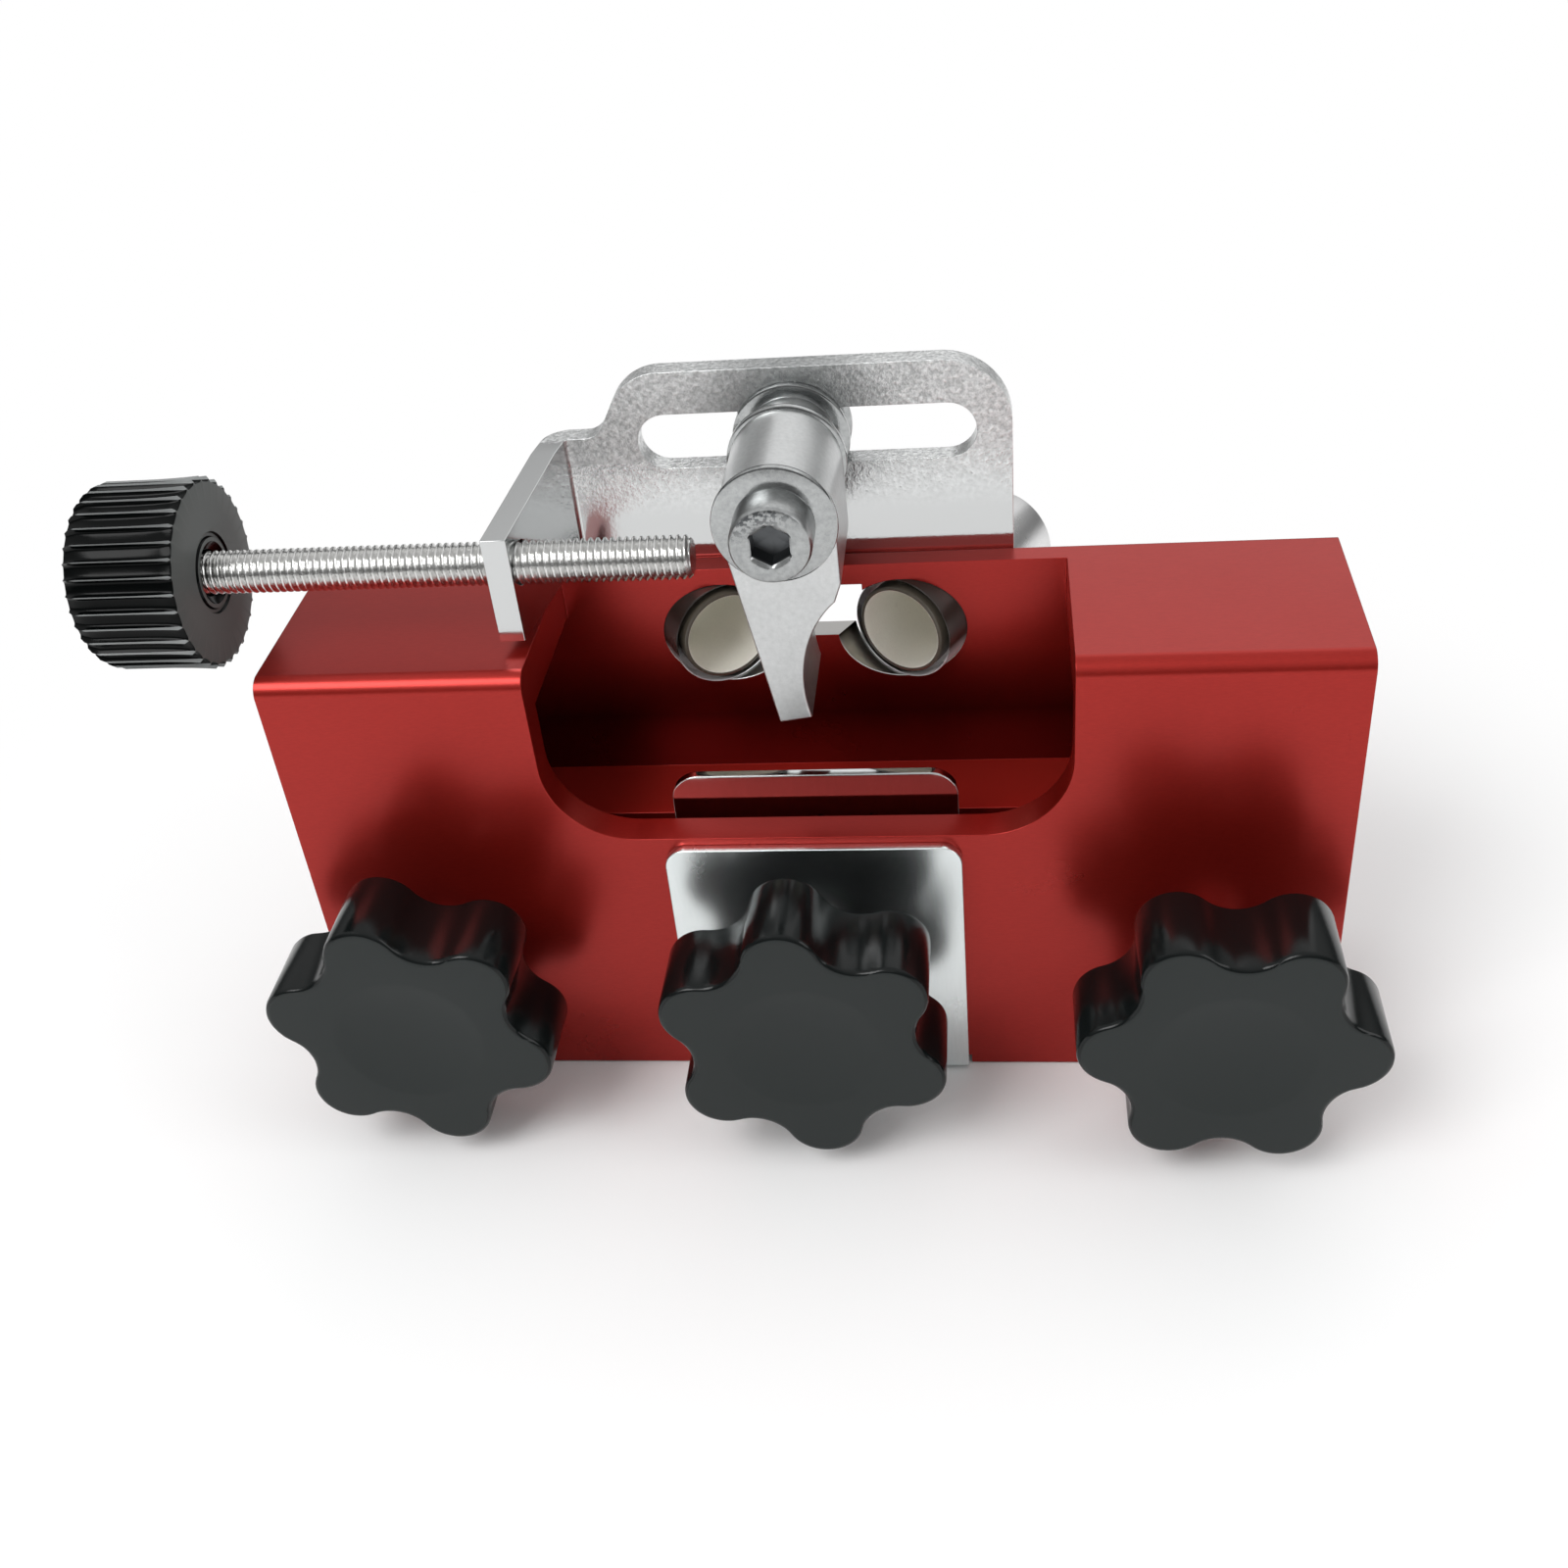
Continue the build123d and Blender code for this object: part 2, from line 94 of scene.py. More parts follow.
# Away from the jig the floor is plain white to the camera.
floorPlace = addNode(floorTree, "ShaderNodeTexCoord", (-900, 200))
floorReach = addNode(floorTree, "ShaderNodeVectorMath", (-700, 200))
floorReach.operation = "LENGTH"
floorFade = addNode(floorTree, "ShaderNodeMapRange", (-500, 200))
floorFade.interpolation_type = "SMOOTHSTEP"
floorFade.inputs["From Min"].default_value = floorSetup["fadeFrom"]
floorFade.inputs["From Max"].default_value = floorSetup["fadeTo"]
floorRay = addNode(floorTree, "ShaderNodeLightPath", (-700, 500))
floorShare = addNode(floorTree, "ShaderNodeMath", (-300, 300))
floorShare.operation = "MULTIPLY"
floorWhite = addNode(floorTree, "ShaderNodeEmission", (0, -300))
floorMix = addNode(floorTree, "ShaderNodeMixShader", (300, 100))
floorLink = floorTree.links.new
floorLink(floorPlace.outputs["Object"], floorReach.inputs[0])
floorLink(floorReach.outputs["Value"], floorFade.inputs["Value"])
floorLink(floorFade.outputs["Result"], floorShare.inputs[0])
floorLink(floorRay.outputs["Is Camera Ray"], floorShare.inputs[1])
floorLink(floorShare.outputs[0], floorMix.inputs["Fac"])
floorLink(floorShader.outputs[0], floorMix.inputs[1])
floorLink(floorWhite.outputs[0], floorMix.inputs[2])
floorLink(floorMix.outputs[0], floorTree.nodes["Material Output"].inputs["Surface"])
floor.data.materials.append(floorMaterial)

lampSetup = {
    "key": {"place": (-0.45, -0.55, 0.85), "size": 0.55, "power": 6.0},
    "side": {"place": (0.75, -0.25, 0.45), "size": 0.45, "power": 1.3},
    "rear": {"place": (0.15, 0.75, 0.65), "size": 0.80, "power": 1.1},
}
lampAim = Vector((0, 0, 40 * mm))
for lampName, values in lampSetup.items():
    lampData = bpy.data.lights.new(lampName + "Lamp", "AREA")
    lampData.shape = "SQUARE"
    lampData.size = values["size"]
    lampData.energy = values["power"]
    lamp = bpy.data.objects.new(lampName + "Lamp", lampData)
    lamp.location = values["place"]
    aim = lampAim - Vector(values["place"])
    lamp.rotation_euler = aim.to_track_quat("-Z", "Y").to_euler()
    bpy.context.scene.collection.objects.link(lamp)

worldSetup = {
    "strength": 0.80,
    "bands": ((0.0, 0.9), (0.49, 0.9), (0.50, 0.10), (0.60, 0.22), (0.74, 0.70), (0.88, 1.0)),
}
world = bpy.data.worlds.new("studioWorld")
bpy.context.scene.world = world
world.use_nodes = True
worldTree = world.node_tree
worldShade = worldTree.nodes["Background"]
worldShade.inputs["Strength"].default_value = worldSetup["strength"]
skyCoords = addNode(worldTree, "ShaderNodeTexCoord", (-900, 0))
skySplit = addNode(worldTree, "ShaderNodeSeparateXYZ", (-700, 0))
skyRange = addNode(worldTree, "ShaderNodeMapRange", (-520, 0))
skyRange.inputs["From Min"].default_value = -1.0
skyRamp = addNode(worldTree, "ShaderNodeValToRGB", (-330, 0))
while len(skyRamp.color_ramp.elements) < len(worldSetup["bands"]):
    skyRamp.color_ramp.elements.new(0.5)
for element, (position, level) in zip(skyRamp.color_ramp.elements, worldSetup["bands"]):
    element.position = position
    element.color = (level, level, level, 1)
worldTree.links.new(skyCoords.outputs["Generated"], skySplit.inputs[0])
worldTree.links.new(skySplit.outputs["Z"], skyRange.inputs["Value"])
worldTree.links.new(skyRange.outputs["Result"], skyRamp.inputs["Fac"])
worldTree.links.new(skyRamp.outputs["Color"], worldShade.inputs["Color"])
# The camera itself sees plain white past the floor.
skyRay = addNode(worldTree, "ShaderNodeLightPath", (-330, 400))
skyWhite = addNode(worldTree, "ShaderNodeBackground", (-50, -200))
skyWhite.inputs["Color"].default_value = (1, 1, 1, 1)
skyMix = addNode(worldTree, "ShaderNodeMixShader", (200, 100))
worldTree.links.new(skyRay.outputs["Is Camera Ray"], skyMix.inputs["Fac"])
worldTree.links.new(worldShade.outputs[0], skyMix.inputs[1])
worldTree.links.new(skyWhite.outputs[0], skyMix.inputs[2])
worldTree.links.new(skyMix.outputs[0], worldTree.nodes["World Output"].inputs["Surface"])
print("camera, floor and light ready")


def newGroup(name, ins, outs):
    group = bpy.data.node_groups.new(name, "ShaderNodeTree")
    for label, kind, start in ins:
        socket = group.interface.new_socket(name=label, in_out="INPUT", socket_type=kind)
        if start is not None:
            socket.default_value = start
    for label, kind in outs:
        group.interface.new_socket(name=label, in_out="OUTPUT", socket_type=kind)
    return group, group.nodes.new("NodeGroupInput"), group.nodes.new("NodeGroupOutput")


floatKind, colourKind, vectorKind = "NodeSocketFloat", "NodeSocketColor", "NodeSocketVector"

# Fine grain: a small bump and a mask from noise, stretched if wanted.
grainGroup, grainIn, grainOut = newGroup(
    "surfaceGrain",
    (("Size", floatKind, 1.0), ("Stretch", vectorKind, (1, 1, 1)), ("Height", floatKind, 0.1),
     ("Contrast", floatKind, 1.0)),
    (("Mask", floatKind), ("Normal", vectorKind)),
)
coords = addNode(grainGroup, "ShaderNodeTexCoord", (-900, 0))
stretch = addNode(grainGroup, "ShaderNodeVectorMath", (-700, 0))
stretch.operation = "MULTIPLY"
noise = addNode(grainGroup, "ShaderNodeTexNoise", (-500, 0), Detail=4.0, Roughness=0.6)
sharpen = addNode(grainGroup, "ShaderNodeMath", (-320, 120))
sharpen.operation = "SUBTRACT"
sharpen.inputs[1].default_value = 0.5
scaleUp = addNode(grainGroup, "ShaderNodeMath", (-160, 120))
scaleUp.operation = "MULTIPLY"
recentre = addNode(grainGroup, "ShaderNodeMath", (0, 120))
recentre.operation = "ADD"
recentre.use_clamp = True
recentre.inputs[1].default_value = 0.5
bump = addNode(grainGroup, "ShaderNodeBump", (0, -120), Distance=0.0002)
link = grainGroup.links.new
link(coords.outputs["Object"], stretch.inputs[0])
link(grainIn.outputs["Stretch"], stretch.inputs[1])
link(stretch.outputs[0], noise.inputs["Vector"])
link(grainIn.outputs["Size"], noise.inputs["Scale"])
link(noise.outputs["Fac"], sharpen.inputs[0])
link(sharpen.outputs[0], scaleUp.inputs[0])
link(grainIn.outputs["Contrast"], scaleUp.inputs[1])
link(scaleUp.outputs[0], recentre.inputs[0])
link(recentre.outputs[0], grainOut.inputs["Mask"])
link(recentre.outputs[0], bump.inputs["Height"])
link(grainIn.outputs["Height"], bump.inputs["Strength"])
link(bump.outputs["Normal"], grainOut.inputs["Normal"])

# Handling marks: soft cloudy patches that lift a roughness between two values.
smudgeGroup, smudgeIn, smudgeOut = newGroup(
    "handlingMarks",
    (("Size", floatKind, 40.0), ("Low", floatKind, 0.2), ("High", floatKind, 0.4)),
    (("Value", floatKind),),
)
coords = addNode(smudgeGroup, "ShaderNodeTexCoord", (-700, 0))
noise = addNode(smudgeGroup, "ShaderNodeTexNoise", (-500, 0), Detail=5.0, Roughness=0.65)
spread = addNode(smudgeGroup, "ShaderNodeMapRange", (-250, 0))
spread.inputs["From Min"].default_value = 0.33
spread.inputs["From Max"].default_value = 0.67
link = smudgeGroup.links.new
link(coords.outputs["Object"], noise.inputs["Vector"])
link(smudgeIn.outputs["Size"], noise.inputs["Scale"])
link(noise.outputs["Fac"], spread.inputs["Value"])
link(smudgeIn.outputs["Low"], spread.inputs["To Min"])
link(smudgeIn.outputs["High"], spread.inputs["To Max"])
link(spread.outputs["Result"], smudgeOut.inputs["Value"])

# Tint mix: a colour between two by a mask.
tintGroup, tintIn, tintOut = newGroup(
    "tintMix",
    (("Mask", floatKind, 0.5), ("Dark", colourKind, (0, 0, 0, 1)), ("Light", colourKind, (1, 1, 1, 1))),
    (("Colour", colourKind),),
)
mix = addNode(tintGroup, "ShaderNodeMix", (0, 0))
mix.data_type = "RGBA"
link = tintGroup.links.new
link(tintIn.outputs["Mask"], mix.inputs[0])
link(tintIn.outputs["Dark"], mix.inputs[6])
link(tintIn.outputs["Light"], mix.inputs[7])
link(mix.outputs[2], tintOut.inputs["Colour"])

# Facing mask: 1 where the surface looks along a chosen object direction.
facingGroup, facingIn, facingOut = newGroup(
    "facingMask",
    (("Direction", vectorKind, (0, -1, 0)), ("From", floatKind, 0.9), ("To", floatKind, 0.97)),
    (("Mask", floatKind),),
)
coords = addNode(facingGroup, "ShaderNodeTexCoord", (-700, 0))
dot = addNode(facingGroup, "ShaderNodeVectorMath", (-450, 0))
dot.operation = "DOT_PRODUCT"
spread = addNode(facingGroup, "ShaderNodeMapRange", (-250, 0))
link = facingGroup.links.new
link(coords.outputs["Normal"], dot.inputs[0])
link(facingIn.outputs["Direction"], dot.inputs[1])
link(dot.outputs["Value"], spread.inputs["Value"])
link(facingIn.outputs["From"], spread.inputs["From Min"])
link(facingIn.outputs["To"], spread.inputs["From Max"])
link(spread.outputs["Result"], facingOut.inputs["Mask"])

# Band: 0 before and 1 past a level along a chosen object direction.
bandGroup, bandIn, bandOut = newGroup(
    "bandAlong",
    (("Direction", vectorKind, (0, 0, 1)), ("Low", floatKind, 0.0), ("High", floatKind, 1.0)),
    (("Mask", floatKind),),
)
coords = addNode(bandGroup, "ShaderNodeTexCoord", (-700, 0))
dot = addNode(bandGroup, "ShaderNodeVectorMath", (-500, 0))
dot.operation = "DOT_PRODUCT"
spread = addNode(bandGroup, "ShaderNodeMapRange", (-250, 0))
link = bandGroup.links.new
link(coords.outputs["Object"], dot.inputs[0])
link(bandIn.outputs["Direction"], dot.inputs[1])
link(dot.outputs["Value"], spread.inputs["Value"])
link(bandIn.outputs["Low"], spread.inputs["From Min"])
link(bandIn.outputs["High"], spread.inputs["From Max"])
link(spread.outputs["Result"], bandOut.inputs["Mask"])

# Bore mask: 1 inside a radius round an axis through a chosen point, with a soft copy that fades outwards.
boreGroup, boreIn, boreOut = newGroup(
    "boreMask",
    (("Point", vectorKind, (0, 0, 0)), ("Axis", vectorKind, (0, 1, 0)), ("Radius", floatKind, 0.01)),
    (("Mask", floatKind), ("Soft", floatKind)),
)
coords = addNode(boreGroup, "ShaderNodeTexCoord", (-900, 0))
offset = addNode(boreGroup, "ShaderNodeVectorMath", (-700, 0))
offset.operation = "SUBTRACT"
around = addNode(boreGroup, "ShaderNodeVectorMath", (-500, 0))
around.operation = "CROSS_PRODUCT"
far = addNode(boreGroup, "ShaderNodeVectorMath", (-300, 0))
far.operation = "LENGTH"
inside = addNode(boreGroup, "ShaderNodeMath", (-100, 0))
inside.operation = "LESS_THAN"
link = boreGroup.links.new
link(coords.outputs["Object"], offset.inputs[0])
link(boreIn.outputs["Point"], offset.inputs[1])
link(offset.outputs[0], around.inputs[0])
link(boreIn.outputs["Axis"], around.inputs[1])
link(around.outputs[0], far.inputs[0])
link(far.outputs["Value"], inside.inputs[0])
link(boreIn.outputs["Radius"], inside.inputs[1])
link(inside.outputs[0], boreOut.inputs["Mask"])
wider = addNode(boreGroup, "ShaderNodeMath", (-300, -200))
wider.operation = "MULTIPLY"
wider.inputs[1].default_value = 2.0
fade = addNode(boreGroup, "ShaderNodeMapRange", (-100, -200))
fade.inputs["To Min"].default_value = 1.0
fade.inputs["To Max"].default_value = 0.0
link(boreIn.outputs["Radius"], wider.inputs[0])
link(far.outputs["Value"], fade.inputs["Value"])
link(boreIn.outputs["Radius"], fade.inputs["From Min"])
link(wider.outputs[0], fade.inputs["From Max"])
link(fade.outputs["Result"], boreOut.inputs["Soft"])


def useGroup(tree, group, place=(0, 0), **values):
    node = tree.nodes.new("ShaderNodeGroup")
    node.node_tree = group
    node.location = place
    for key, value in values.items():
        node.inputs[key].default_value = value
    return node


def joinMasks(tree, how, first, second, place):
    # Each mask is an output socket, and the second may be a plain number.
    node = addNode(tree, "ShaderNodeMath", place)
    node.operation = how
    tree.links.new(first, node.inputs[0])
    if isinstance(second, float):
        node.inputs[1].default_value = second
    else:
        tree.links.new(second, node.inputs[1])
    return node.outputs[0]


def pastLevel(tree, direction, low, high, place):
    # 0 before the low level and 1 past the high one along a direction, in millimetres.
    return useGroup(tree, bandGroup, place, Direction=direction, Low=low * mm, High=high * mm).outputs["Mask"]


def roundAxis(tree, point, axis, radius, place, output="Mask"):
    spot = tuple(value * mm for value in point)
    return useGroup(tree, boreGroup, place, Point=spot, Axis=axis, Radius=radius * mm).outputs[output]


def layTint(tree, under, mask, colour, place, where="Light"):
    # Lays a colour over another where the mask is 1, or where it is 0 if where is Dark.
    tint = useGroup(tree, tintGroup, place, **{where: colour})
    tree.links.new(mask, tint.inputs["Mask"])
    tree.links.new(under, tint.inputs["Dark" if where == "Light" else "Light"])
    return tint.outputs["Colour"]


def spreadMask(tree, mask, low, high, place):
    node = addNode(tree, "ShaderNodeMapRange", place, To_Min=low, To_Max=high)
    tree.links.new(mask, node.inputs["Value"])
    return node.outputs["Result"]


def basePaint(material):
    # The tree, the shader and the socket that feeds the base colour of a finished material.
    tree = material.node_tree
    shader = tree.nodes["Principled BSDF"]
    return tree, shader, shader.inputs["Base Color"].links[0].from_socket


def makeMetal(name, dark, light, rough, grainSize, grainHeight, stretch=(1, 1, 1), metallic=1.0):
    material, tree, shader = newMaterial(name)
    shader.inputs["Metallic"].default_value = metallic
    grain = useGroup(tree, grainGroup, (-700, -200), Size=grainSize, Height=grainHeight, Stretch=stretch,
                     Contrast=2.0)
    smudge = useGroup(tree, smudgeGroup, (-700, 100), Size=45.0, Low=rough[0], High=rough[1])
    tint = useGroup(tree, tintGroup, (-450, 250), Dark=dark, Light=light)
    tree.links.new(grain.outputs["Mask"], tint.inputs["Mask"])
    tree.links.new(tint.outputs["Colour"], shader.inputs["Base Color"])
    tree.links.new(smudge.outputs["Value"], shader.inputs["Roughness"])
    tree.links.new(grain.outputs["Normal"], shader.inputs["Normal"])
    return material


metalFinishes = {
    "bareAluminium": {"dark": (0.76, 0.76, 0.76, 1), "light": (0.84, 0.84, 0.84, 1), "rough": (0.26, 0.34),
                      "grainSize": 3000.0, "grainHeight": 0.03},
    "bushMetal": {"dark": (0.90, 0.88, 0.79, 1), "light": (0.95, 0.93, 0.84, 1), "rough": (0.26, 0.38),
                  "grainSize": 2500.0, "grainHeight": 0.03, "metallic": 0.0},
    "polishedPlate": {"dark": (0.80, 0.85, 0.85, 1), "light": (0.86, 0.91, 0.91, 1), "rough": (0.24, 0.28),
                      "grainSize": 2600.0, "grainHeight": 0.004, "stretch": (1, 1, 0.1)},
    "mirrorPlate": {"dark": (0.54, 0.56, 0.56, 1), "light": (0.60, 0.62, 0.62, 1), "rough": (0.07, 0.10),
                    "grainSize": 2600.0, "grainHeight": 0.004, "stretch": (1, 1, 0.1)},
    "washerSteel": {"dark": (0.32, 0.33, 0.33, 1), "light": (0.46, 0.47, 0.47, 1), "rough": (0.10, 0.18),
                    "grainSize": 1600.0, "grainHeight": 0.03},
    "boltSteel": {"dark": (0.30, 0.31, 0.31, 1), "light": (0.46, 0.47, 0.47, 1), "rough": (0.27, 0.36),
                  "grainSize": 1600.0, "grainHeight": 0.04},
    "satinSteel": {"dark": (0.54, 0.55, 0.55, 1), "light": (0.64, 0.65, 0.65, 1), "rough": (0.27, 0.36),
                   "grainSize": 1600.0, "grainHeight": 0.04},
    "zincScrew": {"dark": (0.60, 0.60, 0.59, 1), "light": (0.74, 0.74, 0.73, 1), "rough": (0.16, 0.26),
                  "grainSize": 1800.0, "grainHeight": 0.10},
}
metals = {name: makeMetal(name, **values) for name, values in metalFinishes.items()}


def makePlastic(name, direction, face, side, faceRough, sideRough, gloss):
    # The face that looks along the direction is moulded rougher and paler than the sides.
    material, tree, shader = newMaterial(name)
    shader.inputs["Specular IOR Level"].default_value = gloss
    facing = useGroup(tree, facingGroup, (-900, 100), Direction=direction).outputs["Mask"]
    tint = useGroup(tree, tintGroup, (-500, 250), Dark=side, Light=face)
    grain = useGroup(tree, grainGroup, (-500, -300), Size=6000.0, Height=0.06)
    tree.links.new(facing, tint.inputs["Mask"])
    tree.links.new(tint.outputs["Colour"], shader.inputs["Base Color"])
    tree.links.new(spreadMask(tree, facing, sideRough, faceRough, (-500, 0)), shader.inputs["Roughness"])
    tree.links.new(grain.outputs["Normal"], shader.inputs["Normal"])
    return material


plasticFinishes = {
    "starPlastic": {"direction": (0, -1, 0), "face": (0.017, 0.021, 0.0205, 1),
                    "side": (0.004, 0.0055, 0.0055, 1), "faceRough": 0.44, "sideRough": 0.16, "gloss": 0.25},
    "gripPlastic": {"direction": (1, 0, 0), "face": (0.098, 0.105, 0.102, 1),
                    "side": (0.002, 0.0025, 0.0025, 1), "faceRough": 0.40, "sideRough": 0.15, "gloss": 0.10},
}
plastics = {name: makePlastic(name, **values) for name, values in plasticFinishes.items()}
print("metals and plastics ready")


def turned(name, origin, axis, rings, segments=96, closeStart=True, closeEnd=True, loop=False):
    # Rings are (distance along the axis, radius or a function of the angle), in millimetres.
    ahead = Vector(axis).normalized()
    side = Vector((0, 0, 1)) if abs(ahead.z) < 0.9 else Vector((1, 0, 0))
    across = ahead.cross(side).normalized()
    side = across.cross(ahead).normalized()
    start = Vector(origin)
    mesh = bpy.data.meshes.new(name)
    shape = bmesh.new()
    rows = []
    for along, radius in rings:
        row = []
        for step in range(segments):
            angle = 2 * math.pi * step / segments
            reach = radius(angle) if callable(radius) else radius
            point = start + ahead * along + (side * math.cos(angle) + across * math.sin(angle)) * reach
            row.append(shape.verts.new(point * mm))
        rows.append(row)
    pairs = list(zip(rows[:-1], rows[1:]))
    if loop:
        pairs.append((rows[-1], rows[0]))
    for first, second in pairs:
        for step in range(segments):
            after = (step + 1) % segments
            shape.faces.new((first[step], first[after], second[after], second[step]))
    if not loop and closeStart:
        shape.faces.new(list(reversed(rows[0])))
    if not loop and closeEnd:
        shape.faces.new(rows[-1])
    bmesh.ops.recalc_face_normals(shape, faces=shape.faces)
    shape.to_mesh(mesh)
    shape.free()
    piece = bpy.data.objects.new(name, mesh)
    bpy.context.scene.collection.objects.link(piece)
    return piece


def smooth(piece, degrees=32):
    bpy.context.view_layer.objects.active = piece
    for other in bpy.context.selected_objects:
        other.select_set(False)
    piece.select_set(True)
    bpy.ops.object.shade_smooth_by_angle(angle=math.radians(degrees))


def finishPiece(piece, material, body, slotName, *replaced):
    piece.data.materials.clear()
    piece.data.materials.append(material)
    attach(piece, body)
    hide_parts(*replaced)


def joinPieces(name, pieces):
    bpy.context.view_layer.objects.active = pieces[0]
    for other in bpy.context.selected_objects:
        other.select_set(False)
    for piece in pieces:
        piece.select_set(True)
    bpy.ops.object.join()
    whole = bpy.context.object
    whole.name = name
    return whole


def hexReach(halfFlats, limit=99.0):
    # Radius of a hexagon as the angle turns, cut off by a round chamfer.
    def reach(angle):
        return min(halfFlats / math.cos((angle % (math.pi / 3)) - math.pi / 6), limit)
    return reach


def threadedRod(name, origin, axis, length, radius, pitch, depth, segments=40, perTurn=10, taper=0.6):
    # A rod whose surface is one continuous helical thread, with its ends tapered off.
    ahead = Vector(axis).normalized()
    side = Vector((0, 0, 1))
    across = ahead.cross(side).normalized()
    side = across.cross(ahead).normalized()
    start = Vector(origin)
    rowCount = int(length / pitch * perTurn)
    verts, faces = [], []
    for row in range(rowCount + 1):
        along = length * row / rowCount
        for step in range(segments):
            angle = 2 * math.pi * step / segments
            phase = (along / pitch - step / segments) % 1.0
            ridge = min(1.0, 1.25 * (1 - abs(2 * phase - 1)))
            reach = radius - depth * (1 - ridge)
            fromEnd = min(along, length - along)
            reach = min(reach, radius - taper + fromEnd)
            point = start + ahead * along + (side * math.cos(angle) + across * math.sin(angle)) * reach
            verts.append(tuple(point * mm))
    for row in range(rowCount):
        for step in range(segments):
            after = (step + 1) % segments
            a, b = row * segments + step, row * segments + after
            faces.append((a, b, b + segments, a + segments))
    faces.append(tuple(reversed(range(segments))))
    faces.append(tuple(range(rowCount * segments, (rowCount + 1) * segments)))
    mesh = bpy.data.meshes.new(name)
    mesh.from_pydata(verts, [], faces)
    mesh.update()
    shape = bmesh.new()
    shape.from_mesh(mesh)
    bmesh.ops.recalc_face_normals(shape, faces=shape.faces)
    shape.to_mesh(mesh)
    shape.free()
    piece = bpy.data.objects.new(name, mesh)
    bpy.context.scene.collection.objects.link(piece)
    return piece


adjustScrew = {"y": -5.4, "z": 84.2, "start": -89.5, "tip": -13.2, "radius": 3.0, "pitch": 1.0, "depth": 0.62}
screw = threadedRod(
    "adjustScrewThread", (adjustScrew["start"], adjustScrew["y"], adjustScrew["z"]), (1, 0, 0),
    adjustScrew["tip"] - adjustScrew["start"], adjustScrew["radius"], adjustScrew["pitch"],
    adjustScrew["depth"],
)
smooth(screw, 40)
finishPiece(screw, metals["zincScrew"], "adjuster", "zinc_fastener", "adjusting_screw")

# The grip's crest colour and the depth of its band paint a highlight on the crests.
grip = {"face": -80.5, "length": 16.2, "radius": 13.3, "flutes": 34, "perFlute": 20, "fluteDepth": 0.95,
        "waist": 0.28, "crest": 0.05, "paintedLight": 0.52, "crestHighlight": (0.24, 0.25, 0.25, 1),
        "valleyColour": (0.001, 0.0015, 0.0015, 1)}
gripPlace = (grip["face"], adjustScrew["y"], adjustScrew["z"])

# Painted highlight: the grip's crests are painted paler than the valleys between them.
tree, shader, plain = basePaint(plastics["gripPlastic"])
valley = roundAxis(tree, (0, adjustScrew["y"], adjustScrew["z"]), (1, 0, 0), grip["radius"] - grip["paintedLight"],
                   (-1100, 500))
crestHighlightTint = useGroup(tree, tintGroup, (-800, 500), Dark=grip["crestHighlight"], Light=grip["valleyColour"])
tree.links.new(valley, crestHighlightTint.inputs["Mask"])
tree.links.new(crestHighlightTint.outputs["Colour"], plain.node.inputs["Dark"])


def gripFlute(base, depth):
    # Narrow rounded crests between wide flat valleys.
    def reach(angle):
        wave = math.sin(angle * grip["flutes"] / 2) ** 2
        return base - depth * wave * (1 + grip["crest"]) / (wave + grip["crest"])
    return reach


gripRings = [(-2.2, 3.02), (-0.7, 3.3), (-0.35, 4.0), (0.0, 4.35), (0.0, 4.9), (-0.35, 5.1), (-0.35, 5.5),
             (0.0, 5.7), (0.0, 9.0), (0.0, grip["radius"] - 1.15)]
gripRings += [(-0.10, gripFlute(grip["radius"] - 0.45, 0.40)), (-0.45, gripFlute(grip["radius"], 0.75))]
for share in (0.12, 0.25, 0.4, 0.55, 0.7, 0.85):
    dip = grip["waist"] * math.sin(min(share, 0.5) * math.pi)
    gripRings.append((-grip["length"] * share, gripFlute(grip["radius"] - dip, grip["fluteDepth"])))
gripRings += [
    (-grip["length"] + 1.2, gripFlute(grip["radius"] - 0.75, 0.9)),
    (-grip["length"] + 0.4, gripFlute(grip["radius"] - 1.5, 0.45)),
    (-grip["length"] + 0.05, grip["radius"] - 2.6),
    (-grip["length"], grip["radius"] - 3.2),
]
gripPiece = turned(
    "adjustGrip", gripPlace, (1, 0, 0), gripRings, grip["flutes"] * grip["perFlute"], closeStart=False,
)
smooth(gripPiece, 38)
finishPiece(gripPiece, plastics["gripPlastic"], "adjuster", "black_plastic", "adjusting_knob")
print("adjuster ready")


starShape = {"radius": 20.8, "valley": 15.9, "lobe": 5.5, "thickness": 12.5, "boss": 7.5, "bossLength": 2.0,
             "z": 24.6, "dish": 1.1, "dishRadius": 11.0}
studThread = {"radius": 4.0, "pitch": 1.25, "depth": 0.75, "inKnob": 8.0}
starPlaces = {
    "left": {"x": -57.4, "front": -36.5, "phase": 43.4, "tip": -6.3, "body": "clamp_left"},
    "center": {"x": -0.6, "front": -38.1, "phase": 37.2, "tip": -8.75, "body": "clamp_center"},
    "right": {"x": 57.4, "front": -39.6, "phase": 58.3, "tip": -9.4, "body": "clamp_right"},
}
lobeCentre = starShape["radius"] - starShape["lobe"]
halfStep = math.cos(math.pi / 6)
valleyRadius = (
    (lobeCentre ** 2 + starShape["valley"] ** 2 - 2 * lobeCentre * starShape["valley"] * halfStep
     - starShape["lobe"] ** 2)
    / (2 * (starShape["lobe"] - starShape["valley"] + lobeCentre * halfStep))
)
valleyCentre = starShape["valley"] + valleyRadius
touchShare = starShape["lobe"] / (starShape["lobe"] + valleyRadius)
touchAngle = math.atan2(
    valleyCentre * math.sin(math.pi / 6) * touchShare,
    lobeCentre + (valleyCentre * halfStep - lobeCentre) * touchShare,
)


